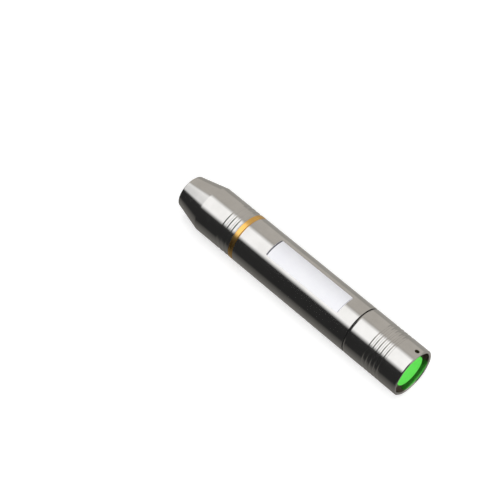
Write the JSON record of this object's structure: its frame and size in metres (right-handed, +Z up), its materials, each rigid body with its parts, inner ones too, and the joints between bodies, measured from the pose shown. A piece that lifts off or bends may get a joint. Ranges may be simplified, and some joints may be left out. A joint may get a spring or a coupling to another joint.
{
  "type": "egg candler",
  "caption": "Slim steel torch for candling eggs: screwed tail cap with a recessed green push button, plain barrel, gold trim ring and a conical nose with a lamp behind glass.",
  "frame": {"origin": "on the surface that the torch lies on, below the middle of its length", "axes": "+X along the torch from the mouth to the tail and its button, +Z up, the label on top"},
  "size_m": [0.139, 0.024, 0.024],
  "materials": {
    "polished_steel": "polished stainless steel, finely brushed",
    "gold": "gold-coloured polished ring",
    "label": "bare satin white label with a dark border line",
    "boot_rubber": "matt green glow-in-the-dark silicone",
    "black_rubber": "black nitrile rubber",
    "black_plastic": "matt black moulding",
    "white_plastic": "natural white moulding",
    "spring_steel": "plated spring wire",
    "brass": "turned brass",
    "circuit_board": "green solder mask",
    "lamp_board": "metal-cored board, white mask",
    "battery_wrap": "shrunk blue sleeve",
    "battery_steel": null,
    "paper": "insulating paper",
    "silver_plastic": "bright reflector plating",
    "ceramic": "white ceramic",
    "silicone": "clear silicone over yellow phosphor",
    "glass": "flat clear glass",
    "wire_red": "red insulation",
    "wire_black": "black insulation",
    "component": "black moulded component",
    "capacitor": "tan ceramic component"
  },
  "bodies": {
    "barrel": {"barrel_tube": "polished_steel", "label": "label", "tail_o_ring": "black_rubber", "front_o_ring": "black_rubber"},
    "battery": {"battery_cell": "battery_steel", "battery_wrap": "battery_wrap", "battery_insulator": "paper", "battery_terminal": "battery_steel"},
    "seal": {"joint_seal": "black_rubber"},
    "spacer": {"switch_spacer": "black_plastic"},
    "cap": {"tail_cap": "polished_steel", "boot_skirt": "boot_rubber", "switch_housing": "black_plastic", "switch_spring": "spring_steel", "switch_terminals": "brass", "switch_board": "circuit_board", "switch_ring": "brass", "tail_spring": "spring_steel"},
    "button": {"boot_crown": "boot_rubber", "switch_plunger": "white_plastic"},
    "trim": {"gold_ring": "gold"},
    "head": {"head_shell": "polished_steel", "pill": "brass", "front_spring": "spring_steel", "driver_board": "circuit_board", "driver_inductor": "component", "driver_chip": "component", "driver_capacitors": "capacitor", "wire_positive": "wire_red", "wire_negative": "wire_black", "led_board": "lamp_board", "led_emitter": "ceramic", "led_dome": "silicone", "centring_ring": "white_plastic", "reflector": "silver_plastic", "lens": "glass", "lens_gasket": "black_rubber"}
  },
  "joints": [
    {"name": "cap_pull", "type": "slide", "parent": "barrel", "child": "seal", "axis": [1, 0, 0], "range_m": [0, 0.03]},
    {"name": "cap_travel", "type": "slide", "parent": "seal", "child": "spacer", "axis": [1, 0, 0], "range_m": [0, 0.006]},
    {"name": "cap_turn", "type": "hinge", "parent": "spacer", "child": "cap", "pos_m": [0.045, 0, 0.012], "axis": [1, 0, 0], "range_deg": [0, 2200]},
    {"name": "button_press", "type": "slide", "parent": "cap", "child": "button", "axis": [-1, 0, 0], "range_m": [0, 0.0012], "stiffness_N_per_m": 800, "springref_m": -0.0015, "deforming": ["boot_skirt", "switch_spring"]},
    {"name": "battery_travel", "type": "slide", "parent": "barrel", "child": "battery", "axis": [1, 0, 0], "range_m": [0, 0.0031]},
    {"name": "head_travel", "type": "slide", "parent": "barrel", "child": "trim", "axis": [-1, 0, 0], "range_m": [0, 0.005]},
    {"name": "head_turn", "type": "hinge", "parent": "trim", "child": "head", "pos_m": [-0.039, 0, 0.012], "axis": [-1, 0, 0], "range_deg": [0, 1835]}
  ],
  "couplings": [
    {"joint": "cap_turn", "follows": "cap_travel", "rad_per_m": 6283.2},
    {"joint": "battery_travel", "follows": "cap_travel", "ratio": 0.5},
    {"joint": "head_turn", "follows": "head_travel", "rad_per_m": 6283.2}
  ]
}
